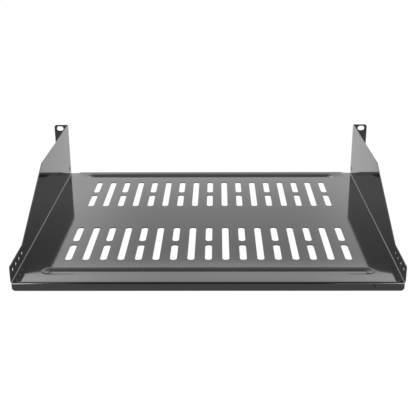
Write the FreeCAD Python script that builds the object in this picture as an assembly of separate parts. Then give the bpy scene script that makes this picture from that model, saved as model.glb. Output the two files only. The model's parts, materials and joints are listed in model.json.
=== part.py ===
import FreeCAD, Part
import math
import os

# Two-unit cantilever shelf for a nineteen-inch rack, folded from one painted steel sheet.
# X runs across the rack, +Y points out of the rack's front and +Z is up.
# The origin is the centre of the four ear slots, on the face that touches the rack rails.
# All lengths are in millimetres.

# Sheet and folds
sheet = 1.2
bend_inner = 1.2

# Rack panel sizes, which set the ears and their slots
rack_units = 2
rack_unit_height = 44.45
panel_clearance = 1.3
hole_row_setback = 12.7
panel_width = 482.6
ear_slot_margin = 8.75
ear_slot_length = 10.0
ear_slot_height = 7.0
ear_corner_radius = 3.5

# Tray
ear_reach = 21.6
overall_depth = 406.4
lip_depth = 10.4
lip_corner_radius = 4.0

# Side walls: full height at the ears, then a slope, then a low run to the free end
slope_run = 137.5
low_wall_run = 63.0
low_wall_height = 18.9
wall_corner_radius = 2.5

# Vent slots: columns of one long slot take turns with columns of two short ones.
# Each round end is drawn with this many flats, which keeps the deck's mesh light.
slot_columns = 17
slot_pitch = 20.9
slot_width = 8.2
long_slot = 105.5
short_slot = 46.7
slot_front_margin = 49.0
slot_rear_margin = 63.3
vent_end_flats = 8

# Two stiffening beads pressed down into the deck
bead_width = 20.6
bead_depth = 2.6
bead_rim_radius = 9.0
bead_foot_radius = 1.5
bead_wall_angle = 30.0
bead_side_margin = 27.2
bead_front_margin = 18.0
bead_rear_margin = 31.9

# Round holes in the walls and in the rear lip
wall_hole = 6.0
wall_hole_drop = 8.3
wall_hole_count = 4
wall_hole_spacing = 15.35
wall_hole_end_margin = 11.5
ear_hole_run = 13.6
lip_hole = 4.0
lip_hole_drop = 4.8
lip_hole_side_margin = 33.7

# Corner reliefs that let neighbouring folds pass each other
relief_depth = 1.5
relief_height = 1.2
front_lip_gap = 3.2
rear_lip_slit = 0.3
rear_corner_gap = 0.5

# Planes worked out from the sizes above
bend_outer = bend_inner + sheet
panel_height = rack_units * rack_unit_height - panel_clearance
slot_row_height = (rack_units * rack_unit_height - hole_row_setback) / 2
half_panel = panel_width / 2
wall_in = half_panel - ear_reach
wall_out = wall_in + sheet
flat_half = wall_in - bend_inner
top = panel_height / 2
bottom = -top
deck_top = bottom + lip_depth
deck_under = deck_top - sheet
low_wall_top = deck_top + low_wall_height
front_face = sheet
rear_face = front_face - overall_depth
front_bend = front_face - bend_outer
rear_bend = rear_face + bend_outer
wall_end = rear_face + sheet
slope_end = wall_end + low_wall_run
slope_start = slope_end + slope_run
lip_top = deck_top - bend_outer
front_lip_half = wall_in - lip_depth - front_lip_gap
rear_bend_half = flat_half - rear_lip_slit
relief_edge = front_bend - relief_depth
relief_top = deck_top + bend_inner + relief_height
X_AXIS = FreeCAD.Vector(1, 0, 0)
Y_AXIS = FreeCAD.Vector(0, 1, 0)
Z_AXIS = FreeCAD.Vector(0, 0, 1)


def on_xz(u, v):
    return FreeCAD.Vector(u, 0, v)


def on_yz(u, v):
    return FreeCAD.Vector(0, u, v)


def on_xy(u, v):
    return FreeCAD.Vector(u, v, 0)


def outline(corners, place):
    """Closed face through corners (u, v) or (u, v, radius), whose radius rounds that corner."""
    count = len(corners)
    starts = []
    ends = []
    edges = []
    for i in range(count):
        corner = place(corners[i][0], corners[i][1])
        radius = corners[i][2] if len(corners[i]) > 2 else 0
        if radius <= 0:
            starts.append(corner)
            ends.append(corner)
            continue
        back = place(corners[i - 1][0], corners[i - 1][1]) - corner
        ahead = place(corners[(i + 1) % count][0], corners[(i + 1) % count][1]) - corner
        back.normalize()
        ahead.normalize()
        half_turn = back.getAngle(ahead) / 2
        reach = radius / math.tan(half_turn)
        middle = back + ahead
        middle.normalize()
        nearest = corner + middle * (radius / math.sin(half_turn) - radius)
        starts.append(corner + back * reach)
        ends.append(corner + ahead * reach)
        edges.append(Part.Arc(starts[i], nearest, ends[i]).toShape())
    for i in range(count):
        following = starts[(i + 1) % count]
        if ends[i].distanceToPoint(following) > 1e-6:
            edges.append(Part.makeLine(ends[i], following))
    return Part.Face(Part.Wire(Part.__sortEdges__(edges)))


def ring_quarter(centre, first, second):
    """Section of a right-angle fold: a quarter ring from direction first to direction second."""
    inner_start = centre + first * bend_inner
    inner_end = centre + second * bend_inner
    outer_start = centre + first * bend_outer
    outer_end = centre + second * bend_outer
    halfway = first + second
    halfway.normalize()
    inner = Part.Arc(inner_start, centre + halfway * bend_inner, inner_end).toShape()
    outer = Part.Arc(outer_start, centre + halfway * bend_outer, outer_end).toShape()
    sides = [Part.makeLine(inner_start, outer_start), Part.makeLine(inner_end, outer_end)]
    return Part.Face(Part.Wire(Part.__sortEdges__([inner, outer] + sides)))


def tray():
    """Flat deck with its two side folds and walls, each wall cut to its tapered outline."""
    length = front_bend - wall_end
    section = [outline([(-flat_half, deck_under), (flat_half, deck_under),
                        (flat_half, deck_top), (-flat_half, deck_top)], on_xz)]
    for side in (-1, 1):
        centre = on_xz(side * flat_half, deck_top + bend_inner)
        section.append(ring_quarter(centre, Z_AXIS * -1, X_AXIS * side))
        section.append(outline([(side * wall_in, deck_top + bend_inner),
                                (side * wall_out, deck_top + bend_inner),
                                (side * wall_out, top), (side * wall_in, top)], on_xz))
    pieces = []
    for face in section:
        face.translate(Y_AXIS * wall_end)
        pieces.append(face.extrude(Y_AXIS * length))
    channel = pieces[0].fuse(pieces[1:])
    side_view = outline([(wall_end, deck_under), (front_bend, deck_under), (front_bend, top),
                         (slope_start, top), (slope_end, low_wall_top),
                         (wall_end, low_wall_top, wall_corner_radius)], on_yz)
    side_view.translate(X_AXIS * -half_panel)
    channel = channel.common(side_view.extrude(X_AXIS * panel_width))
    rear_strip = Part.makeBox(2 * flat_half, rear_bend - wall_end, sheet,
                              FreeCAD.Vector(-flat_half, wall_end, deck_under))
    return channel.cut(rear_strip)


def corner_reliefs():
    """Notches where the deck, a side wall and an ear meet, so that each folds on its own."""
    reach = half_panel - front_lip_half
    height = relief_top - bottom
    notches = []
    for side in (-1, 1):
        left = min(side * front_lip_half, side * half_panel)
        corner = FreeCAD.Vector(left, relief_edge, bottom)
        notches.append(Part.makeBox(reach, relief_depth + bend_outer, height, corner))
    return notches


def ear(side):
    """Rack ear on one side: a fold outward from the wall's front edge, and its flat plate."""
    centre = FreeCAD.Vector(side * (wall_out + bend_inner), front_bend, relief_top)
    fold = ring_quarter(centre, X_AXIS * -side, Y_AXIS)
    fold = fold.extrude(Z_AXIS * (top - relief_top))
    inner_edge = side * (wall_out + bend_inner)
    outer_edge = side * half_panel
    plate = outline([(inner_edge, bottom), (outer_edge, bottom, ear_corner_radius),
                     (outer_edge, top, ear_corner_radius), (inner_edge, top)], on_xz)
    return [fold, plate.extrude(Y_AXIS * sheet)]


def lip(bend_line, face_line, bend_half, plate_half):
    """Stiffening lip folded down from the deck's front or rear edge."""
    outward = 1 if face_line > bend_line else -1
    centre = FreeCAD.Vector(-bend_half, bend_line, lip_top)
    fold = ring_quarter(centre, Z_AXIS, Y_AXIS * outward)
    fold = fold.extrude(X_AXIS * (2 * bend_half))
    plate = outline([(-plate_half, bottom, lip_corner_radius), (plate_half, bottom, lip_corner_radius),
                     (plate_half, lip_top), (-plate_half, lip_top)], on_xz)
    plate.translate(Y_AXIS * face_line)
    return [fold, plate.extrude(Y_AXIS * (-outward * sheet))]


def rear_lip():
    """Lip at the free end, between the walls, its fold slit at both ends beside their folds."""
    fold, plate = lip(rear_bend, rear_face, wall_in, wall_in)
    slit_line = wall_end - rear_corner_gap
    for side in (-1, 1):
        left = min(side * rear_bend_half, side * wall_in)
        corner = FreeCAD.Vector(left, slit_line, bottom)
        slit = Part.makeBox(wall_in - rear_bend_half, rear_bend - slit_line, lip_depth, corner)
        fold = fold.cut(slit)
    return [fold, plate]


def bead_section(surface, rim_radius, foot_radius):
    """Half section of a bead below the plane surface, from its middle line to its rim."""
    angle = math.radians(bead_wall_angle)
    half_width = bead_width / 2
    curved_drop = (bead_rim_radius + bead_foot_radius) * (1 - math.cos(angle))
    straight = (bead_depth - curved_drop) / math.sin(angle)
    curved_run = (bead_rim_radius + bead_foot_radius) * math.sin(angle)
    foot_line = half_width - curved_run - straight * math.cos(angle)
    floor = surface - bead_depth
    rim_centre = (half_width, surface - rim_radius)
    foot_centre = (foot_line, floor + foot_radius)

    def around(centre, radius, turn):
        return on_yz(centre[0] + radius * math.sin(turn), centre[1] + radius * math.cos(turn))

    rim = [around(rim_centre, rim_radius, turn) for turn in (0, -angle / 2, -angle)]
    foot = [around(foot_centre, foot_radius, math.pi - turn) for turn in (angle, angle / 2, 0)]
    edges = [Part.Arc(*rim).toShape(), Part.makeLine(rim[2], foot[0]), Part.Arc(*foot).toShape()]
    edges.append(Part.makeLine(foot[2], on_yz(0, floor)))
    edges.append(Part.makeLine(on_yz(0, floor), on_yz(0, surface)))
    edges.append(Part.makeLine(on_yz(0, surface), rim[0]))
    return Part.Face(Part.Wire(edges))


def bead_form(surface, rim_radius, foot_radius, run):
    """Solid of a round-ended bead below the plane surface, centred on the line Y = run."""
    end_line = wall_in - bead_side_margin - bead_width / 2
    half = bead_section(surface, rim_radius, foot_radius)
    parts = []
    for side in (-1, 1):
        flank = half.copy()
        if side < 0:
            flank.rotate(FreeCAD.Vector(0, 0, 0), Z_AXIS, 180)
        flank.translate(FreeCAD.Vector(-end_line, 0, 0))
        parts.append(flank.extrude(X_AXIS * (2 * end_line)))
        round_end = half.revolve(FreeCAD.Vector(0, 0, 0), Z_AXIS, -180 * side)
        round_end.translate(FreeCAD.Vector(side * end_line, 0, 0))
        parts.append(round_end)
    form = parts[0].fuse(parts[1:]).removeSplitter()
    form.translate(Y_AXIS * run)
    return form


def beads():
    """Bulge below the deck and hollow above it, for the front and the rear bead."""
    bulges = []
    hollows = []
    for run in (-bead_front_margin, rear_face + bead_rear_margin):
        bulges.append(bead_form(deck_under, bead_rim_radius - sheet, bead_foot_radius + sheet, run))
        hollows.append(bead_form(deck_top, bead_rim_radius, bead_foot_radius, run))
    return bulges, hollows


def obround(length, width, thickness):
    """Cutter for a round-ended slot along Y, centred on the origin, with its thickness along Z."""
    end = width / 2
    shoulder = (length - width) / 2
    tips = []
    for way in (1, -1):
        tips.append(Part.Arc(on_xy(way * end, way * shoulder), on_xy(0, way * length / 2),
                             on_xy(-way * end, way * shoulder)).toShape())
    left = Part.makeLine(on_xy(-end, shoulder), on_xy(-end, -shoulder))
    right = Part.makeLine(on_xy(end, -shoulder), on_xy(end, shoulder))
    face = Part.Face(Part.Wire([tips[0], left, tips[1], right]))
    face.translate(Z_AXIS * (-thickness / 2))
    return face.extrude(Z_AXIS * thickness)


def vent(length):
    """Cutter for one vent slot along Y, centred on the origin, its round ends cut in flats."""
    radius = slot_width / 2
    shoulder = length / 2 - radius
    rim = []
    for way in (1, -1):
        for step in range(vent_end_flats + 1):
            turn = math.pi * step / vent_end_flats
            rim.append(on_xy(way * radius * math.cos(turn), way * (shoulder + radius * math.sin(turn))))
    face = Part.Face(Part.makePolygon(rim + rim[:1]))
    face.translate(Z_AXIS * (deck_under - sheet))
    return face.extrude(Z_AXIS * (3 * sheet))


def vent_slots():
    """Two groups of slot columns, which start and end with a column of two short slots."""
    front_group = -slot_front_margin - long_slot / 2
    rear_group = rear_face + slot_rear_margin + long_slot / 2
    shift = (long_slot - short_slot) / 2
    cutters = []
    for centre in (front_group, rear_group):
        for column in range(slot_columns):
            across = (column - (slot_columns - 1) / 2) * slot_pitch
            slots = [(short_slot, centre - shift), (short_slot, centre + shift)]
            if column % 2:
                slots = [(long_slot, centre)]
            for length, along in slots:
                cutter = vent(length)
                cutter.translate(on_xy(across, along))
                cutters.append(cutter)
    return cutters


def ear_slots():
    """Level slots in both ears, one near the top and one near the bottom of each."""
    across = half_panel - ear_slot_margin
    cutters = []
    for side in (-1, 1):
        for row in (-1, 1):
            cutter = obround(ear_slot_length, ear_slot_height, 3 * sheet)
            cutter.rotate(FreeCAD.Vector(0, 0, 0), Z_AXIS, 90)
            cutter.rotate(FreeCAD.Vector(0, 0, 0), X_AXIS, 90)
            cutter.translate(FreeCAD.Vector(side * across, sheet / 2, row * slot_row_height))
            cutters.append(cutter)
    return cutters


def wall_holes():
    """Row of holes at each wall's free end, and one more beside each ear."""
    height = low_wall_top - wall_hole_drop
    runs = [wall_end + wall_hole_end_margin + i * wall_hole_spacing for i in range(wall_hole_count)]
    cutters = []
    for run in runs + [-ear_hole_run]:
        for side in (-1, 1):
            start = FreeCAD.Vector(side * (wall_in - sheet), run, height)
            cutters.append(Part.makeCylinder(wall_hole / 2, 3 * sheet, start, X_AXIS * side))
    return cutters


def lip_holes():
    """One small hole near each end of the rear lip."""
    across = wall_in - lip_hole_side_margin
    cutters = []
    for side in (-1, 1):
        start = FreeCAD.Vector(side * across, rear_face - sheet, deck_top - lip_hole_drop)
        cutters.append(Part.makeCylinder(lip_hole / 2, 3 * sheet, start, Y_AXIS))
    return cutters


def shelf():
    """The whole folded sheet as one solid."""
    bulges, hollows = beads()
    folded = tray().cut(corner_reliefs())
    flanges = ear(-1) + ear(1)
    flanges += lip(front_bend, front_face, front_lip_half, front_lip_half)
    flanges += rear_lip()
    folded = folded.fuse(flanges + bulges).removeSplitter()
    cutters = hollows + vent_slots() + ear_slots() + wall_holes() + lip_holes()
    return folded.cut(cutters).removeSplitter()


os.makedirs("parts", exist_ok=True)
body = shelf()
solids = body.Solids
print("solids", len(solids), "valid", body.isValid(), "volume", round(body.Volume))
solids[0].exportStep("parts/shelf.step")
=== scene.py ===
# %% [markdown]
# # A cantilever rack shelf in black paint
# The real shelf is one steel sheet: punched flat, pressed, folded up and painted. This lesson
# makes it in the same order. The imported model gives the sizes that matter, such as where the
# walls, the ears and their holes are, and the scene draws the sheet again with rounder slot ends
# and a soft painted edge, which the light needs to look right.

import json
import math

import bmesh
import bpy
from mathutils import Matrix, Vector


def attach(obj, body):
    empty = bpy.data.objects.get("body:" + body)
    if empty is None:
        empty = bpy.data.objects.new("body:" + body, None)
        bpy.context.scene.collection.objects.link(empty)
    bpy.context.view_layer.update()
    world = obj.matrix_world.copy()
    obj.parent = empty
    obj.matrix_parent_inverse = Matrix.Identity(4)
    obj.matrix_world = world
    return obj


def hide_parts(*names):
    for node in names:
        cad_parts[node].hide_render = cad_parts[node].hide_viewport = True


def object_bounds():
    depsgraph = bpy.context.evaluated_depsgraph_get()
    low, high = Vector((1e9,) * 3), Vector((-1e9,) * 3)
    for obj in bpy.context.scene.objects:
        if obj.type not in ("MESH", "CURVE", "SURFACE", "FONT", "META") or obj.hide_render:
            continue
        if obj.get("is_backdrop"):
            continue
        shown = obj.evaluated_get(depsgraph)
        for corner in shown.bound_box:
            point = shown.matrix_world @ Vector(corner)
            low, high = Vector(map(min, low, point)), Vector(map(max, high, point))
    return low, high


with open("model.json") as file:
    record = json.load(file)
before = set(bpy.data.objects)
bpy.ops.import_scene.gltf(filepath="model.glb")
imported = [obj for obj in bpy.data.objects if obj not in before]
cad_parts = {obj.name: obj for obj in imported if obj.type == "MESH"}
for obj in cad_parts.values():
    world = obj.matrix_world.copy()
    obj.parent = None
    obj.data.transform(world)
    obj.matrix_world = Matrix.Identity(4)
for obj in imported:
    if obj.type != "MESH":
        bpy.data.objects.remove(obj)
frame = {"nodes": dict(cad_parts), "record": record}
low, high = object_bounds()
print("nodes", sorted(frame["nodes"]), "box in mm", [round(1000 * v, 2) for v in (*low, *high)])

# %% [markdown]
# ## Sizes
# The outer box gives the ears, the lips and the two ends of the sheet. The mounts give the deck's
# height, the walls and the holes. What the model doesn't name is written here once, in metres.

# %% Sizes from the model
mounts = {mount["name"]: mount for mount in frame["record"]["mounts"]}
PANEL_HALF = high.x
TOP = high.z
BOTTOM = low.z
FRONT = high.y
REAR = low.y
SHEET = FRONT - mounts["rack_ears"]["pos_m"][1]
DECK = mounts["deck"]["pos_m"][2]
WALL = mounts["right_wall_ends"]["pos_m"][0]
print("sheet %.2f mm, deck at %.2f mm, walls at %.2f mm" % (1000 * SHEET, 1000 * DECK, 1000 * WALL))

# %% Sizes of the folds and the outline
BEND_IN = 0.0012
BEND_OUT = BEND_IN + SHEET
FLAT_HALF = WALL - BEND_IN
WALL_FOOT = DECK + BEND_IN
LIP_TOP = DECK - BEND_OUT
FRONT_BEND = FRONT - BEND_OUT
REAR_BEND = REAR + BEND_OUT
WALL_END = REAR + SHEET
LOW_WALL_HEIGHT = 0.0189
LOW_WALL_RUN = 0.063
SLOPE_RUN = 0.1375
LOW_WALL_TOP = DECK + LOW_WALL_HEIGHT
SLOPE_END = WALL_END + LOW_WALL_RUN
SLOPE_START = SLOPE_END + SLOPE_RUN
EAR_INNER = WALL + SHEET + BEND_IN
FRONT_LIP_HALF = 0.2061
REAR_SLIT = 0.0003
REAR_BEND_HALF = FLAT_HALF - REAR_SLIT
REAR_SLIT_STEP = 4
RELIEF_RUN = 0.0015
RELIEF_RISE = 0.0012
RELIEF_EDGE = FRONT_BEND - RELIEF_RUN
RELIEF_TOP = WALL_FOOT + RELIEF_RISE
WALL_ROUND = 0.0025
EAR_ROUND = 0.0035
LIP_ROUND = 0.004
FOLD_STEPS = 8
ROUND_STEPS = 8
SLOT_STEPS = 10
HOLE_STEPS = 8
SMALL_HOLE_STEPS = 6

# %% Sizes of the beads and the vent slots
BEAD_HALF_WIDTH = 0.0103
BEAD_DEPTH = 0.0026
BEAD_RIM = 0.009
BEAD_FOOT = 0.0015
BEAD_ANGLE = math.radians(30)
BEAD_TO_WALL = 0.0272
BEAD_END = WALL - BEAD_TO_WALL - BEAD_HALF_WIDTH
BEAD_RUNS = (-0.0180, REAR + 0.0319)
BEAD_STEPS = 24
BEAD_ARC_STEPS = 7
BEAD_RAMP = 0.003
SLOT_COLUMNS = 17
SLOT_PITCH = 0.0209
SLOT_WIDTH = 0.0082
LONG_SLOT = 0.1055
SHORT_SLOT = 0.0467
FRONT_SLOTS = -0.049
REAR_SLOTS = REAR + 0.0633
SLOT_GROUPS = (FRONT_SLOTS - LONG_SLOT / 2, REAR_SLOTS + LONG_SLOT / 2)
PAINTED_EDGE = 0.00015

# %% [markdown]
# ## Camera
# The photograph looks from the shelf's free end towards the ears, about 21 degrees down. Its
# principal point lies a little off the picture's middle, which a small lens shift gives.

# %% Camera
PICTURE = 416
FOCAL_PIXELS = 819.18
MIDDLE_PIXEL = (212.0, 219.9)
PITCH = math.radians(20.9281)
YAW = math.radians(0.4359)
ROLL = math.radians(-0.2188)
SENSOR = 36
CAMERA_X = 0.0113
CAMERA_Y = -1.23368
CAMERA_OVER_DECK = 0.39165

camera = bpy.data.objects.new("camera", bpy.data.cameras.new("camera"))
bpy.context.scene.collection.objects.link(camera)
bpy.context.scene.camera = camera
camera.data.sensor_width = SENSOR
camera.data.lens = FOCAL_PIXELS / PICTURE * camera.data.sensor_width
camera.data.shift_x = 0.5 - MIDDLE_PIXEL[0] / PICTURE
camera.data.shift_y = MIDDLE_PIXEL[1] / PICTURE - 0.5
ahead = Vector((-math.sin(YAW), math.cos(YAW), 0))
side = Vector((math.cos(YAW), math.sin(YAW), 0))
sight = ahead * math.cos(PITCH) - Vector((0, 0, math.sin(PITCH)))
above = ahead * math.sin(PITCH) + Vector((0, 0, math.cos(PITCH)))
right = side * math.cos(ROLL) + above * math.sin(ROLL)
upright = above * math.cos(ROLL) - side * math.sin(ROLL)
turned = Matrix((right, upright, -sight)).transposed().to_4x4()
camera.matrix_world = Matrix.Translation((CAMERA_X, CAMERA_Y, DECK + CAMERA_OVER_DECK)) @ turned
print("lens %.1f mm, shift %.4f %.4f" % (camera.data.lens, camera.data.shift_x, camera.data.shift_y))

# %% [markdown]
# ## Shader maths as expressions
# A paint's pattern is a sum of soft noises. This small class wraps one socket, so that the sum
# reads as Python: an operator adds the Math node, and `node` adds any other.

# %% A socket that does sums
class Wire:
    """One output of a material's node tree, or a plain number, that Python operators combine."""

    def __init__(self, tree, value):
        self.tree = tree
        self.value = value

    def node(self, kind, settings, sockets, output=0):
        """Adds a node with its settings and socket values or wires, and wraps its output."""
        made = self.tree.nodes.new(kind)
        for name, setting in settings.items():
            if name == "stops":
                while len(made.color_ramp.elements) < len(setting):
                    made.color_ramp.elements.new(1.0)
                for stop, (place, grey) in zip(made.color_ramp.elements, setting):
                    stop.position = place
                    stop.color = (grey, grey, grey, 1)
            else:
                setattr(made, name, setting)
        for name, value in sockets.items():
            if isinstance(value, Wire):
                value = value.value
            if isinstance(value, bpy.types.NodeSocket):
                self.tree.links.new(value, made.inputs[name])
            else:
                made.inputs[name].default_value = value
        return Wire(self.tree, made.outputs[output])

    def maths(self, operation, first, second):
        """Adds a Math node with its two values or wires, and wraps its output."""
        return self.node("ShaderNodeMath", {"operation": operation}, {0: first, 1: second})

    def __add__(self, other):
        return self.maths("ADD", self, other)

    __radd__ = __add__

    def __mul__(self, other):
        return self.maths("MULTIPLY", self, other)

    __rmul__ = __mul__

    def __sub__(self, other):
        return self.maths("SUBTRACT", self, other)

    def __rsub__(self, other):
        return self.maths("SUBTRACT", other, self)


# %% [markdown]
# ## Black powder coat
# The shelf is black, but hardly any of its colour is seen: at this low angle the smooth coat
# mirrors the white studio, and the tilt of each face sets its grey. So the coat is a very dark
# base with a plain clear gloss, roughened a little, and a faint orange peel bends the mirror.

# %% Paint
PEEL_SCALE = 420
PEEL_SHARE = 0.6
FINE_PEEL_SCALE = 1500
FINE_PEEL_SHARE = 0.4
PEEL_HEIGHT = 0.000012
DRIFT_SCALE = 9
DARK_TONE = (0.0065, 0.0065, 0.0068, 1)
LIGHT_TONE = (0.0095, 0.0095, 0.0100, 1)
ROUGHNESS = 0.07
DRIFT_ROUGHNESS = 0.03
PEEL_ROUGHNESS = 0.02
PAINT_IOR = 1.5


def powder_coat():
    """Semi-gloss black powder coat, with a slow drift of gloss and a fine orange peel."""
    paint = bpy.data.materials.new("semi_gloss_black_powder_coat")
    paint.use_nodes = True
    tree = paint.node_tree
    shader = tree.nodes["Principled BSDF"]
    start = Wire(tree, None)
    place = start.node("ShaderNodeTexCoord", {}, {}, "Object")

    def noise(scale, detail):
        return start.node("ShaderNodeTexNoise", {},
                          {"Vector": place, "Scale": scale, "Detail": detail}, "Fac")

    peel = noise(PEEL_SCALE, 2) * PEEL_SHARE + noise(FINE_PEEL_SCALE, 1) * FINE_PEEL_SHARE
    drift = noise(DRIFT_SCALE, 3)
    tone = start.node("ShaderNodeMix", {"data_type": "RGBA"},
                      {0: drift, 6: DARK_TONE, 7: LIGHT_TONE}, 2)
    bump = start.node("ShaderNodeBump", {},
                      {"Height": peel, "Distance": PEEL_HEIGHT, "Strength": 1.0})
    roughness = ROUGHNESS + (drift - 0.5) * DRIFT_ROUGHNESS + (peel - 0.5) * PEEL_ROUGHNESS
    tree.links.new(tone.value, shader.inputs["Base Color"])
    tree.links.new(roughness.value, shader.inputs["Roughness"])
    tree.links.new(bump.value, shader.inputs["Normal"])
    shader.inputs["IOR"].default_value = PAINT_IOR
    print("paint nodes", len(tree.nodes))
    return paint


paint = powder_coat()

# %% [markdown]
# ## Punching the flat plates
# Each flat of the sheet is an outline with holes in it. A node tree adds a row of round-ended
# holes to an outline, and another fills what is left, as a punching press would leave it. One
# tree serves the vent slots, the ear slots and every round hole, because a circle is a slot
# whose length is its width.

# %% The tree that adds a row of holes
LOOP_WELD = 1e-6


def new_tree(name, inputs):
    """An empty modifier tree with a geometry in and out, and the named inputs."""
    tree = bpy.data.node_groups.new(name, "GeometryNodeTree")
    tree.interface.new_socket("Geometry", in_out="INPUT", socket_type="NodeSocketGeometry")
    for label, kind in inputs:
        tree.interface.new_socket(label, in_out="INPUT", socket_type=kind)
    tree.interface.new_socket("Geometry", in_out="OUTPUT", socket_type="NodeSocketGeometry")
    return tree


def add(tree, kind, settings, sockets):
    """Adds a node to a modifier tree, its settings first and then its sockets' values or links."""
    made = tree.nodes.new(kind)
    for name, setting in settings.items():
        setattr(made, name, setting)
    for name, value in sockets.items():
        if isinstance(value, bpy.types.NodeSocket):
            tree.links.new(value, made.inputs[name])
        else:
            made.inputs[name].default_value = value
    return made


def row_tree():
    """Adds the outlines of a row of round-ended holes to the outline that comes in."""
    number = "NodeSocketFloat"
    tree = new_tree("row_of_holes", [("Count", "NodeSocketInt"), ("Pitch", number),
                                     ("Size X", number), ("Size Y", number),
                                     ("Middle", "NodeSocketVector"),
                                     ("End Steps", "NodeSocketInt")])
    given = tree.nodes.new("NodeGroupInput").outputs
    math_node = "ShaderNodeMath"
    least = add(tree, math_node, {"operation": "MINIMUM"}, {0: given["Size X"], 1: given["Size Y"]})
    radius = add(tree, math_node, {"operation": "MULTIPLY"}, {0: least.outputs[0], 1: 0.5})
    gaps = add(tree, math_node, {"operation": "SUBTRACT"}, {0: given["Count"], 1: 1.0})
    run = add(tree, math_node, {"operation": "MULTIPLY"}, {0: gaps.outputs[0], 1: given["Pitch"]})
    half_run = add(tree, math_node, {"operation": "MULTIPLY"}, {0: run.outputs[0], 1: -0.5})
    back = add(tree, "ShaderNodeCombineXYZ", {}, {"X": half_run.outputs[0]})
    first = add(tree, "ShaderNodeVectorMath", {"operation": "ADD"},
                {0: given["Middle"], 1: back.outputs[0]})
    step = add(tree, "ShaderNodeCombineXYZ", {}, {"X": given["Pitch"]})
    line = add(tree, "GeometryNodeMeshLine", {"mode": "OFFSET"},
               {"Count": given["Count"], "Start Location": first.outputs[0],
                "Offset": step.outputs[0]})
    frame_curve = add(tree, "GeometryNodeCurvePrimitiveQuadrilateral", {},
                      {"Width": given["Size X"], "Height": given["Size Y"]})
    rounded = add(tree, "GeometryNodeFilletCurve", {"mode": "POLY"},
                  {"Curve": frame_curve.outputs[0], "Count": given["End Steps"],
                   "Radius": radius.outputs[0]})
    placed = add(tree, "GeometryNodeInstanceOnPoints", {},
                 {"Points": line.outputs[0], "Instance": rounded.outputs[0]})
    real = add(tree, "GeometryNodeRealizeInstances", {}, {"Geometry": placed.outputs[0]})
    edges = add(tree, "GeometryNodeCurveToMesh", {}, {"Curve": real.outputs[0]})
    clean = add(tree, "GeometryNodeMergeByDistance", {},
                {"Geometry": edges.outputs[0], "Distance": LOOP_WELD})
    joined = tree.nodes.new("GeometryNodeJoinGeometry")
    tree.links.new(given["Geometry"], joined.inputs[0])
    tree.links.new(clean.outputs[0], joined.inputs[0])
    tree.links.new(joined.outputs[0], tree.nodes.new("NodeGroupOutput").inputs[0])
    return tree


# %% The tree that fills the plate
def fill_tree(material):
    """Fills the outline between its holes, and gives the plate its material."""
    tree = new_tree("filled_plate", [])
    given = tree.nodes.new("NodeGroupInput").outputs
    curve = add(tree, "GeometryNodeMeshToCurve", {}, {"Mesh": given["Geometry"]})
    filled = add(tree, "GeometryNodeFillCurve", {"mode": "TRIANGLES"}, {"Curve": curve.outputs[0]})
    real = add(tree, "GeometryNodeRealizeInstances", {}, {"Geometry": filled.outputs[0]})
    named = add(tree, "GeometryNodeSetMaterial", {},
                {"Geometry": real.outputs[0], "Material": material})
    tree.links.new(named.outputs[0], tree.nodes.new("NodeGroupOutput").inputs[0])
    return tree


ROW = row_tree()
FILL = fill_tree(paint)
print("trees", ROW.name, len(ROW.nodes), FILL.name, len(FILL.nodes))


# %% Punch one plate
def rounded_outline(corners):
    """Points of a closed outline through corners (u, v) or (u, v, radius)."""
    points = []
    for i, corner in enumerate(corners):
        here = Vector(corner[:2])
        if len(corner) < 3:
            points.append(here)
            continue
        back = (Vector(corners[i - 1][:2]) - here).normalized()
        onward = (Vector(corners[(i + 1) % len(corners)][:2]) - here).normalized()
        half = back.angle(onward) / 2
        centre = here + (back + onward).normalized() * corner[2] / math.sin(half)
        first = here + back * corner[2] / math.tan(half) - centre
        turn = first.angle_signed(here + onward * corner[2] / math.tan(half) - centre)
        for step in range(ROUND_STEPS + 1):
            bent = first.copy()
            bent.rotate(Matrix.Rotation(-turn * step / ROUND_STEPS, 2))
            points.append(centre + bent)
    return points


def punched_plate(name, loops, rows):
    """Mesh of a flat plate in its own u, v plane, from outline loops and rows of holes."""
    mesh = bpy.data.meshes.new(name)
    corners = []
    edges = []
    for loop in loops:
        base = len(corners)
        corners += [(point[0], point[1], 0) for point in loop]
        edges += [(base + i, base + (i + 1) % len(loop)) for i in range(len(loop))]
    mesh.from_pydata(corners, edges, [])
    blank = bpy.data.objects.new(name, mesh)
    bpy.context.scene.collection.objects.link(blank)
    sockets = {item.name: item.identifier for item in ROW.interface.items_tree
               if item.in_out == "INPUT"}
    for number, row in enumerate(rows):
        punch = blank.modifiers.new("row %d" % number, "NODES")
        punch.node_group = ROW
        for label, value in row.items():
            punch[sockets[label]] = value
    blank.modifiers.new("fill", "NODES").node_group = FILL
    view = bpy.context.evaluated_depsgraph_get()
    plate = bpy.data.meshes.new_from_object(blank.evaluated_get(view))
    bpy.data.objects.remove(blank)
    area = 1e4 * sum(face.area for face in plate.polygons)
    print("%s: %d faces, %.1f cm2" % (name, len(plate.polygons), area))
    return plate


def hole_row(count, pitch, size_x, size_y, middle, end_steps):
    """One row of holes as the tree's named inputs. A round hole's two sizes are the same."""
    return {"Count": count, "Pitch": pitch, "Size X": size_x, "Size Y": size_y,
            "Middle": (*middle, 0.0), "End Steps": end_steps}


# %% [markdown]
# ## Deck
# Columns of one long slot take turns with columns of two short ones, in two groups. The two
# stiffening beads are left open in the plate, because pressing moves their metal out of its plane.

# %% Bead loops and the deck plate
def bead_loop(run, reach, end=BEAD_END):
    """Closed loop at a distance from a bead's middle line: two straights and two half circles."""
    loop = []
    for way in (1, -1):
        for step in range(BEAD_STEPS + 1):
            turn = math.pi * step / BEAD_STEPS
            loop.append((way * (end + reach * math.sin(turn)), run - way * reach * math.cos(turn)))
    return loop


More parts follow.
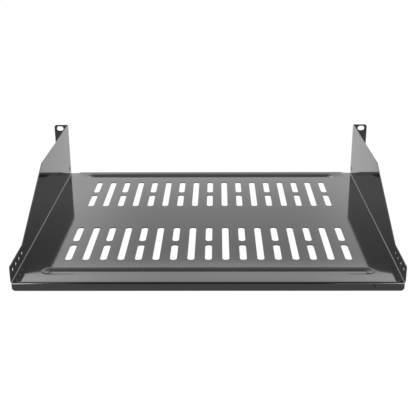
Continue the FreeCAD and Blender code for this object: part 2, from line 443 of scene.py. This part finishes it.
def deck_plate():
    """The deck, with its vent slots and the two openings that the beads will fill."""
    outline = [(-FLAT_HALF, REAR_BEND), (-REAR_BEND_HALF, REAR_BEND), (REAR_BEND_HALF, REAR_BEND),
               (FLAT_HALF, REAR_BEND), (FLAT_HALF, RELIEF_EDGE), (FRONT_LIP_HALF, RELIEF_EDGE),
               (FRONT_LIP_HALF, FRONT_BEND), (-FRONT_LIP_HALF, FRONT_BEND),
               (-FRONT_LIP_HALF, RELIEF_EDGE), (-FLAT_HALF, RELIEF_EDGE)]
    shift = (LONG_SLOT - SHORT_SLOT) / 2
    long_columns = SLOT_COLUMNS // 2
    rows = []
    for group in SLOT_GROUPS:
        rows.append(hole_row(long_columns, 2 * SLOT_PITCH, SLOT_WIDTH, LONG_SLOT, (0, group),
                             SLOT_STEPS))
        for middle in (group - shift, group + shift):
            rows.append(hole_row(long_columns + 1, 2 * SLOT_PITCH, SLOT_WIDTH, SHORT_SLOT,
                                 (0, middle), SLOT_STEPS))
    loops = [outline] + [bead_loop(run, BEAD_HALF_WIDTH) for run in BEAD_RUNS]
    return punched_plate("deck", loops, rows)


# %% [markdown]
# ## Walls, ears and lips
# Their outlines share corners with the folds that join them, so that the folded sheet can be
# merged into one skin. The rows of holes come from the model's mounts.

# %% The other plates
def span(name):
    """Middle, spacing and hole diameter of a pair of holes in the model, as numbers in metres."""
    mount = mounts[name]
    sizes = mount["dims"]
    return Vector(mount["pos_m"]), sizes["spacing_x_mm"] / 1000, 2 * sizes["hole_r_mm"] / 1000


def wall_plate():
    """One side wall, seen from its side, with its holes."""
    ends, reach, width = span("right_wall_ends")
    near, outer, _ = span("right_wall_outer_pair")
    _, pitch, _ = span("right_wall_inner_pair")
    outline = [(WALL_END, WALL_FOOT), (REAR_BEND, WALL_FOOT), (RELIEF_EDGE, WALL_FOOT),
               (RELIEF_EDGE, RELIEF_TOP), (FRONT_BEND, RELIEF_TOP), (FRONT_BEND, TOP),
               (SLOPE_START, TOP), (SLOPE_END, LOW_WALL_TOP), (WALL_END, LOW_WALL_TOP, WALL_ROUND)]
    rows = [hole_row(round(outer / pitch) + 1, pitch, width, width, (near.y, near.z), HOLE_STEPS),
            hole_row(1, 0.0, width, width, (ends.y + reach / 2, ends.z), HOLE_STEPS)]
    return punched_plate("wall", [rounded_outline(outline)], rows)


def ear_plate():
    """One ear with its two slots for the rack's screws."""
    sizes = mounts["rack_ears"]["dims"]
    outline = [(EAR_INNER, BOTTOM), (PANEL_HALF, BOTTOM, EAR_ROUND), (PANEL_HALF, TOP, EAR_ROUND),
               (EAR_INNER, TOP), (EAR_INNER, RELIEF_TOP)]
    across = sizes["spacing_x_mm"] / 2000
    rows = [hole_row(1, 0.0, sizes["slot_length_mm"] / 1000, 2 * sizes["hole_r_mm"] / 1000,
                     (across, way * sizes["spacing_y_mm"] / 2000), SLOT_STEPS) for way in (-1, 1)]
    return punched_plate("ear", [rounded_outline(outline)], rows)


def lip_plate(name, half, bend_half, holes):
    """A lip with round lower corners, whose fold may be shorter than the lip."""
    outline = [(-half, BOTTOM, LIP_ROUND), (half, BOTTOM, LIP_ROUND), (half, LIP_TOP),
               (-half, LIP_TOP)]
    if bend_half < half:
        outline[3:3] = [(bend_half, LIP_TOP), (-bend_half, LIP_TOP)]
    return punched_plate(name, [rounded_outline(outline)], holes)


# %% [markdown]
# ## Folding up
# Every flat goes to its place, and a strip of narrow quads bends from one to the next. The skin
# is the side that shows from above: the deck's top, the walls' insides and the ears' fronts.

# %% Lay the flats and the folds
def lay(sheet, plate, place):
    """Copies a flat plate into the sheet, with each point put where place(u, v) says."""
    corners = [sheet.verts.new(place(v.co.x, v.co.y)) for v in plate.vertices]
    for face in plate.polygons:
        sheet.faces.new([corners[i] for i in face.vertices])


def fold(sheet, stations, place, radius, first_step=0):
    """Quarter turn of strips through the stations along a fold line."""
    rows = []
    for step in range(first_step, FOLD_STEPS + 1):
        turn = math.pi / 2 * step / FOLD_STEPS
        rows.append([sheet.verts.new(place(s, radius * math.sin(turn), radius * math.cos(turn)))
                     for s in stations])
    for lower, upper in zip(rows, rows[1:]):
        for i in range(len(stations) - 1):
            sheet.faces.new((lower[i], lower[i + 1], upper[i + 1], upper[i]))


print("a fold turns 90 degrees in", FOLD_STEPS, "strips")

# %% [markdown]
# ## Pressed beads
# A bead is a long shallow trough that a press sinks into the deck, so that the thin sheet doesn't
# sag between its walls. Its section is two arcs and a straight, and its ends are half circles, so
# one loop round the middle line, sunk step by step along that section, makes all of it. Each loop
# is also a little shorter than the last, because the ends ramp down more gently than the sides.

# %% Press a bead
def bead_profile():
    """Distances from the middle line and heights of a bead's half section, from rim to foot."""
    drop = (BEAD_RIM + BEAD_FOOT) * (1 - math.cos(BEAD_ANGLE))
    straight = (BEAD_DEPTH - drop) / math.sin(BEAD_ANGLE)
    foot = (BEAD_HALF_WIDTH - (BEAD_RIM + BEAD_FOOT) * math.sin(BEAD_ANGLE)
            - straight * math.cos(BEAD_ANGLE))
    turns = [BEAD_ANGLE * i / BEAD_ARC_STEPS for i in range(BEAD_ARC_STEPS + 1)]
    rim = [(BEAD_HALF_WIDTH - BEAD_RIM * math.sin(t), DECK - BEAD_RIM * (1 - math.cos(t)))
           for t in turns]
    floor = DECK - BEAD_DEPTH
    return rim + [(foot + BEAD_FOOT * math.sin(t), floor + BEAD_FOOT * (1 - math.cos(t)))
                  for t in reversed(turns)]


def press_bead(sheet, profile, run):
    """A round-ended bead: loops that sink along the profile, closed by its flat floor."""
    rings = []
    for reach, height in profile:
        end = BEAD_END - BEAD_RAMP * (BEAD_HALF_WIDTH - reach) / (BEAD_HALF_WIDTH - profile[-1][0])
        rings.append([sheet.verts.new((x, y, height)) for x, y in bead_loop(run, reach, end)])
    count = len(rings[0])
    for outer, inner in zip(rings, rings[1:]):
        for i in range(count):
            ahead_i = (i + 1) % count
            sheet.faces.new((outer[i], outer[ahead_i], inner[ahead_i], inner[i]))
    sheet.faces.new(rings[-1])


profile = bead_profile()
print("bead section: %d steps, floor %.1f mm wide" % (len(profile), 2000 * profile[-1][0]))

# %% [markdown]
# ## A bowed end
# Pressing a bead so near the sheet's front end seems to have pulled that end up by a hair: its
# edge stands half a pixel higher in the picture than a flat sheet would put it. So that end is
# cut into small faces and bowed, and the bow fades out towards the walls' folds.

# %% Bow the front end
BOW_CLEARANCE = 0.0005
BOW_LINE = BEAD_RUNS[0] - BEAD_HALF_WIDTH - BOW_CLEARANCE
BOW_HEIGHT = 0.0009
BOW_POWER = 1.5
BOW_PAST_LIP = 0.004
BOW_FADE = FLAT_HALF - FRONT_LIP_HALF + BOW_PAST_LIP
BOW_FADE_SHARES = (1.0, 0.83, 0.67, 0.5, 0.33, 0.17)
BOW_CUTS_ACROSS = [FLAT_HALF - BOW_FADE * share for share in BOW_FADE_SHARES]
BOW_CUTS_ALONG = (0.25, 0.5, 0.75)
CUT_WELD = 1e-6


def bow(x, y):
    """Height by which the front end of the deck has bowed up at a point."""
    along = max(0.0, (y - BOW_LINE) / (FRONT - BOW_LINE))
    share = min(1.0, max(0.0, (FLAT_HALF - abs(x)) / BOW_FADE))
    across = share * share * (3 - 2 * share)
    return BOW_HEIGHT * along ** BOW_POWER * across


def cut_end(sheet, place, facing):
    """Cuts the faces in front of the bow's line by one plane."""
    end = [f for f in sheet.faces if f.calc_center_median().y > BOW_LINE]
    parts = {v for f in end for v in f.verts} | {e for f in end for e in f.edges} | set(end)
    bmesh.ops.bisect_plane(sheet, geom=list(parts), dist=CUT_WELD, plane_co=place, plane_no=facing)


def bow_end(sheet):
    """Cuts the front end of the sheet into small faces and bows it up, most at the deck's edge."""
    everything = sheet.verts[:] + sheet.edges[:] + sheet.faces[:]
    bmesh.ops.bisect_plane(sheet, geom=everything, dist=CUT_WELD, plane_co=(0, BOW_LINE, 0),
                           plane_no=(0, 1, 0))
    for x in BOW_CUTS_ACROSS:
        cut_end(sheet, (x, 0, 0), (1, 0, 0))
        cut_end(sheet, (-x, 0, 0), (1, 0, 0))
    for share in BOW_CUTS_ALONG:
        cut_end(sheet, (0, BOW_LINE + (FRONT_BEND - BOW_LINE) * share, 0), (0, 1, 0))
    for corner in sheet.verts:
        share = min(1.0, (corner.co.z - BOTTOM) / (DECK - BOTTOM))
        corner.co.z += share * bow(corner.co.x, corner.co.y)


print("bow of %.1f mm at the front edge" % (1000 * bow(0, FRONT)))

# %% [markdown]
# ## The whole skin
# Now every flat is laid in its place and every fold joins two of them. Points that meet are
# merged, so that the skin is one sheet, as the real one is, with its two beads pressed in. The
# rear lip is cut free beside its fold by a thin slit at each end, so only part of the turn shows
# there.

# %% Fold the sheet
SHEET_WELD = 2e-6


def folded_skin():
    """The whole upper skin of the shelf, merged at its fold lines, as one mesh."""
    sheet = bmesh.new()
    lay(sheet, deck_plate(), lambda u, v: (u, v, DECK))
    wall = wall_plate()
    ear = ear_plate()
    holes, reach, width = span("rear_lip_holes")
    rear_holes = [hole_row(2, reach, width, width, (0, holes.z), SMALL_HOLE_STEPS)]
    rear_lip = lip_plate("rear_lip", WALL, REAR_BEND_HALF, rear_holes)
    lay(sheet, rear_lip, lambda u, v: (u, REAR, v))
    front_lip = lip_plate("front_lip", FRONT_LIP_HALF, FRONT_LIP_HALF, [])
    lay(sheet, front_lip, lambda u, v: (u, FRONT, v))

    def over_rear(s, a, b):
        return (s, REAR_BEND - a, LIP_TOP + b)

    fold(sheet, (-REAR_BEND_HALF, REAR_BEND_HALF), over_rear, BEND_OUT)
    for way in (-1, 1):
        fold(sheet, (way * REAR_BEND_HALF, way * WALL), over_rear, BEND_OUT, REAR_SLIT_STEP)
    fold(sheet, (-FRONT_LIP_HALF, FRONT_LIP_HALF),
         lambda s, a, b: (s, FRONT_BEND + a, LIP_TOP + b), BEND_OUT)
    for way in (-1, 1):
        lay(sheet, wall, lambda u, v: (way * WALL, u, v))
        lay(sheet, ear, lambda u, v: (way * u, FRONT, v))
        fold(sheet, (WALL_END, REAR_BEND, RELIEF_EDGE),
             lambda s, a, b: (way * (FLAT_HALF + a), s, WALL_FOOT - b), BEND_IN)
        fold(sheet, (RELIEF_TOP, TOP),
             lambda s, a, b: (way * (EAR_INNER - b), FRONT_BEND + a, s), BEND_OUT)
    for run in BEAD_RUNS:
        press_bead(sheet, bead_profile(), run)
    bmesh.ops.remove_doubles(sheet, verts=sheet.verts, dist=SHEET_WELD)
    bow_end(sheet)
    bmesh.ops.recalc_face_normals(sheet, faces=sheet.faces)
    upmost = max(sheet.faces, key=lambda f: f.calc_area() * abs(f.normal.z))
    if upmost.normal.z < 0:
        bmesh.ops.reverse_faces(sheet, faces=sheet.faces)
    for face in sheet.faces:
        face.smooth = True
    open_edges = [e for e in sheet.edges if len(e.link_faces) == 1]
    odd_edges = [e for e in sheet.edges if len(e.link_faces) > 2]
    print("skin", len(sheet.faces), "faces,", len(open_edges), "open edges,", len(odd_edges), "odd")
    mesh = bpy.data.meshes.new("painted_shelf")
    sheet.to_mesh(mesh)
    sheet.free()
    return mesh


# %% [markdown]
# ## Thickness and painted edges
# Solidify gives the skin the sheet's thickness on its hidden side. A punched edge is sharp in
# steel, but paint rounds it by a small part of a millimetre, and that narrow round is what
# catches the light along every slot. A bevel makes it, and weighted normals keep the flats flat.

# %% Finish the sheet
EDGE_SEGMENTS = 2
EDGE_ANGLE = math.radians(50)
VOLUME_WELD = 1e-7


def painted_shelf():
    """The visible shelf: the skin made thick, with its edges rounded by the paint."""
    shelf = bpy.data.objects.new("painted_shelf", folded_skin())
    bpy.context.scene.collection.objects.link(shelf)
    thick = shelf.modifiers.new("thickness", "SOLIDIFY")
    thick.thickness = SHEET
    thick.offset = -1
    thick.use_even_offset = True
    edge = shelf.modifiers.new("painted edge", "BEVEL")
    edge.width = PAINTED_EDGE
    edge.segments = EDGE_SEGMENTS
    edge.limit_method = "ANGLE"
    edge.angle_limit = EDGE_ANGLE
    edge.use_clamp_overlap = False
    edge.harden_normals = False
    flats = shelf.modifiers.new("flat flats", "WEIGHTED_NORMAL")
    flats.keep_sharp = False
    view = bpy.context.evaluated_depsgraph_get()
    finished = bpy.data.meshes.new_from_object(shelf.evaluated_get(view),
                                               preserve_all_data_layers=True, depsgraph=view)
    shelf.modifiers.clear()
    for corner in finished.vertices:
        corner.co.y = min(max(corner.co.y, REAR), FRONT)
    shelf.data = finished
    shelf.data.name = "painted_shelf"
    shelf.data.materials.clear()
    shelf.data.materials.append(paint)
    return shelf


def volume_cm3(mesh):
    """Volume that a closed mesh encloses, after its loose triangles are merged."""
    solid = bmesh.new()
    solid.from_mesh(mesh)
    bmesh.ops.remove_doubles(solid, verts=solid.verts, dist=VOLUME_WELD)
    inside = 1e6 * solid.calc_volume()
    solid.free()
    return inside


shelf = painted_shelf()
packed = frame["nodes"]["shelf"]
print("triangles", sum(len(f.vertices) - 2 for f in shelf.data.polygons))
print("volume %.2f cm3, packed %.2f cm3" % (volume_cm3(shelf.data), volume_cm3(packed.data)))
packed.data.materials.clear()
packed.data.materials.append(paint)
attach(shelf, "root")
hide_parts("shelf")

# %% [markdown]
# ## Studio
# The photograph is a cut-out on pure white, so the camera sees a white floor and world. The
# paint mirrors the studio round it: a bright backdrop low behind the shelf, a white ceiling, and
# a dark opening behind the camera, which draws the near fold as a black line. A run is the pair
# of numbers between which a light rises or falls, on the direction's x, y or z.

# %% World
CEILING = 1.1
AMBIENT = 0.6
BACKDROP_FULL = 2.5
BACKDROP = [(0, 1.0), (8, 1.7), (15, 1.6), (18, 1.37), (20, 1.10), (22, 1.03), (23.9, 0.9),
            (24.35, 2.3), (24.75, 2.2), (25.0, 1.6), (29, 1.5), (40, CEILING)]
BACKDROP_RUN = (0.1, 0.4)
GLOW_MIDDLE = 0.008
SIDE_GLOW = 0.85
SIDE_GLOW_RUN = (0.08, 0.26)
SIDE_GLOW_RISE = [(17.6, 0.0), (18.9, 1.0), (23.9, 1.0), (24.6, 0.75)]
TENT_GLOW = 0.5
TENT_RUN = (0.35, 0.6)
OPENING_DEPTH = 0.97
OPENING_FRONT_RUN = (0.15, 0.0)
OPENING_SIDE_RUN = (0.21, 0.17)
OPENING_FOOT_RUN = (0.0, 0.05)
SECOND_MIRROR = (0.52, 0.36)
SECOND_MIRROR_RUN = (0.31, 0.43)
SECOND_BOUNCE = 1.5


def studio_world():
    """World that is plain white to the camera and a lit studio to the paint's reflections."""
    world = bpy.data.worlds.new("studio")
    bpy.context.scene.world = world
    world.use_nodes = True
    tree = world.node_tree
    start = Wire(tree, None)
    toward = start.node("ShaderNodeTexCoord", {}, {}, "Generated")
    x, y, z = [start.node("ShaderNodeSeparateXYZ", {}, {"Vector": toward}, axis) for axis in "XYZ"]

    def ramp(levels, full):
        """Light level by elevation in degrees, as a colour ramp on the height of the direction."""
        stops = [(math.sin(math.radians(turn)), level / full) for turn, level in levels]
        return start.node("ShaderNodeValToRGB", {"stops": stops}, {"Fac": z}, "Color") * full

    def between(value, run, to=(0.0, 1.0), kind="LINEAR"):
        """A level that goes from one number to another while the value goes through its run."""
        return start.node("ShaderNodeMapRange", {"interpolation_type": kind},
                          {"Value": value, "From Min": run[0], "From Max": run[1],
                           "To Min": to[0], "To Max": to[1]})

    glow = ramp(BACKDROP, BACKDROP_FULL)
    sideways = start.maths("ABSOLUTE", x - GLOW_MIDDLE, 0.0)
    sides = between(sideways, SIDE_GLOW_RUN, (0.0, SIDE_GLOW), "SMOOTHSTEP")
    sides = sides * ramp(SIDE_GLOW_RISE, 1.0)
    rear = between(y, BACKDROP_RUN)
    front = between(y, OPENING_FRONT_RUN)
    behind_camera = between(sideways, OPENING_SIDE_RUN)
    over_foot = between(z, OPENING_FOOT_RUN)
    opening = front * behind_camera * over_foot
    tent = between(sideways, TENT_RUN, (0.0, TENT_GLOW))
    lit = CEILING + tent + (glow - CEILING + sides) * rear
    mirrored = lit * (1 - OPENING_DEPTH * opening)
    rays = tree.nodes.new("ShaderNodeLightPath")
    camera_ray = Wire(tree, rays.outputs["Is Camera Ray"])
    glossy_ray = Wire(tree, rays.outputs["Is Glossy Ray"])
    clear_ray = Wire(tree, rays.outputs["Is Transmission Ray"])
    white = start.maths("MAXIMUM", camera_ray, clear_ray)
    bounces = Wire(tree, rays.outputs["Glossy Depth"])
    twice = start.maths("GREATER_THAN", bounces, SECOND_BOUNCE)
    second = between(z, SECOND_MIRROR_RUN, SECOND_MIRROR)
    strength = AMBIENT + white * (1 - AMBIENT) + glossy_ray * (
        mirrored * (1 - twice * (1 - second)) - AMBIENT)
    tree.links.new(strength.value, tree.nodes["Background"].inputs["Strength"])
    tree.nodes["Background"].inputs["Color"].default_value = (1, 1, 1, 1)
    print("world nodes", len(tree.nodes))


studio_world()

# %% [markdown]
# ## Floor
# To the camera the floor is nearly all its own white light, so that it looks plain, and the
# paint mirrors three quarters of that light. Two small matt spots lie on it where the camera
# looks through the rear lip's holes, because those holes look dark in the photograph, so the
# shade under the shelf shows there. The left spot keeps a trace of own light: painted light,
# for the stronger light from the left.

# %% Floor
FLOOR_HALF = 6.0
FLOOR_WHITE = (0.8, 0.8, 0.8, 1)
FLOOR_GLOW = 1.02
FLOOR_SEEN = 0.98
FLOOR_MIRRORED = 0.75
PATCH_HALF = 0.0055
PATCH_SHIFT = 0.0026
PATCH_RUN = (0.0065, 0.0180)
PATCH_RISE = 0.00002
# The last number is each spot's own light: the left spot's trace of glow is painted light, for the
# stronger light from the left.
PATCHES = (("left", -1, 0.02), ("right", 1, 0.0))


def floor_plate(name, middle_x, half_x, run_y, height, material):
    """A flat rectangle of floor, which belongs to the stage and not to the shelf."""
    corners = [(middle_x - half_x, run_y[0]), (middle_x + half_x, run_y[0]),
               (middle_x + half_x, run_y[1]), (middle_x - half_x, run_y[1])]
    mesh = bpy.data.meshes.new(name)
    mesh.from_pydata([(x, y, height) for x, y in corners], [], [range(len(corners))])
    mesh.materials.append(material)
    plate = bpy.data.objects.new(name, mesh)
    bpy.context.scene.collection.objects.link(plate)
    plate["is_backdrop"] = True


def white_floor_paint(name, own_light, mirrored_light):
    """Matt white that a share of its own light turns plain, to the camera and to the paint."""
    material = bpy.data.materials.new(name)
    material.use_nodes = True
    tree = material.node_tree
    tree.nodes.clear()
    start = Wire(tree, None)
    matt = start.node("ShaderNodeBsdfDiffuse", {}, {"Color": FLOOR_WHITE})
    rays = tree.nodes.new("ShaderNodeLightPath")
    direct = start.maths("MAXIMUM", Wire(tree, rays.outputs["Is Camera Ray"]),
                         Wire(tree, rays.outputs["Is Transmission Ray"]))
    share = direct * own_light + Wire(tree, rays.outputs["Is Glossy Ray"]) * mirrored_light
    glow = start.node("ShaderNodeEmission", {}, {"Color": (1, 1, 1, 1), "Strength": FLOOR_GLOW})
    mixed = start.node("ShaderNodeMixShader", {}, {0: share, 1: matt, 2: glow})
    output = tree.nodes.new("ShaderNodeOutputMaterial")
    tree.links.new(mixed.value, output.inputs["Surface"])
    return material


def white_floor():
    """A wide white floor, and the two matt spots of it that the rear lip's holes show, the left one
    with a trace of painted light.
    """
    floor_plate("white_floor", 0, FLOOR_HALF, (-FLOOR_HALF, FLOOR_HALF), BOTTOM,
                white_floor_paint("white_floor", FLOOR_SEEN, FLOOR_MIRRORED))
    _, reach, _ = span("rear_lip_holes")
    run = [REAR + distance for distance in PATCH_RUN]
    # The left spot's own light is painted light, which lightens the hole in front of it.
    for side, way, own_light in PATCHES:
        floor_plate("floor_behind_%s_hole" % side, way * (reach / 2 + PATCH_SHIFT), PATCH_HALF, run,
                    BOTTOM + PATCH_RISE, white_floor_paint("matt_floor_" + side, own_light, 0.0))
    print("floor %.0f m wide, with %d matt spots" % (2 * FLOOR_HALF, len(PATCHES)))


white_floor()


# %% Softboxes
SOFTBOX_Y = -2.0
SOFTBOX_TOP = 0.95
SOFTBOXES = (("left_softbox", -1.25, -0.58, -0.9, 16), ("right_softbox", 0.56, 1.25, 0.9, 9),
             ("right_softbox_rim", 0.38, 0.56, 0.47, 2.5))


def softbox(name, low_corner, high_corner, target, radiance):
    """Upright soft lamp that spans two corners of a vertical plane and faces the target."""
    low_corner, high_corner = Vector(low_corner), Vector(high_corner)
    lamp = bpy.data.lights.new(name, "AREA")
    lamp.shape = "RECTANGLE"
    across = (high_corner - low_corner) * Vector((1, 1, 0))
    lamp.size = across.length
    lamp.size_y = high_corner.z - low_corner.z
    lamp.energy = radiance * math.pi * lamp.size * lamp.size_y
    holder = bpy.data.objects.new(name, lamp)
    middle = (low_corner + high_corner) / 2
    holder.location = middle
    facing = Vector(target) - middle
    facing.z = 0
    holder.rotation_euler = facing.to_track_quat("-Z", "Y").to_euler()
    holder.visible_camera = False
    bpy.context.scene.collection.objects.link(holder)
    print("%s %.2f x %.2f m, %.0f W" % (name, lamp.size, lamp.size_y, lamp.energy))


for name, from_x, to_x, aim_x, radiance in SOFTBOXES:
    softbox(name, (from_x, SOFTBOX_Y, 0.0), (to_x, SOFTBOX_Y, SOFTBOX_TOP), (aim_x, 0, 0), radiance)

# %% [markdown]
# ## Finish
# The view transform is plain, so a colour renders as written. The two boxes are printed, the
# imported one at the start and the painted one here, so that the two can be compared. The
# painted shelf must not be larger than the imported one.

# %% Print the boxes and finish
bpy.context.scene.view_settings.view_transform = "Standard"
low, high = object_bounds()
print("visual box in mm", [round(1000 * v, 2) for v in (*low, *high)])
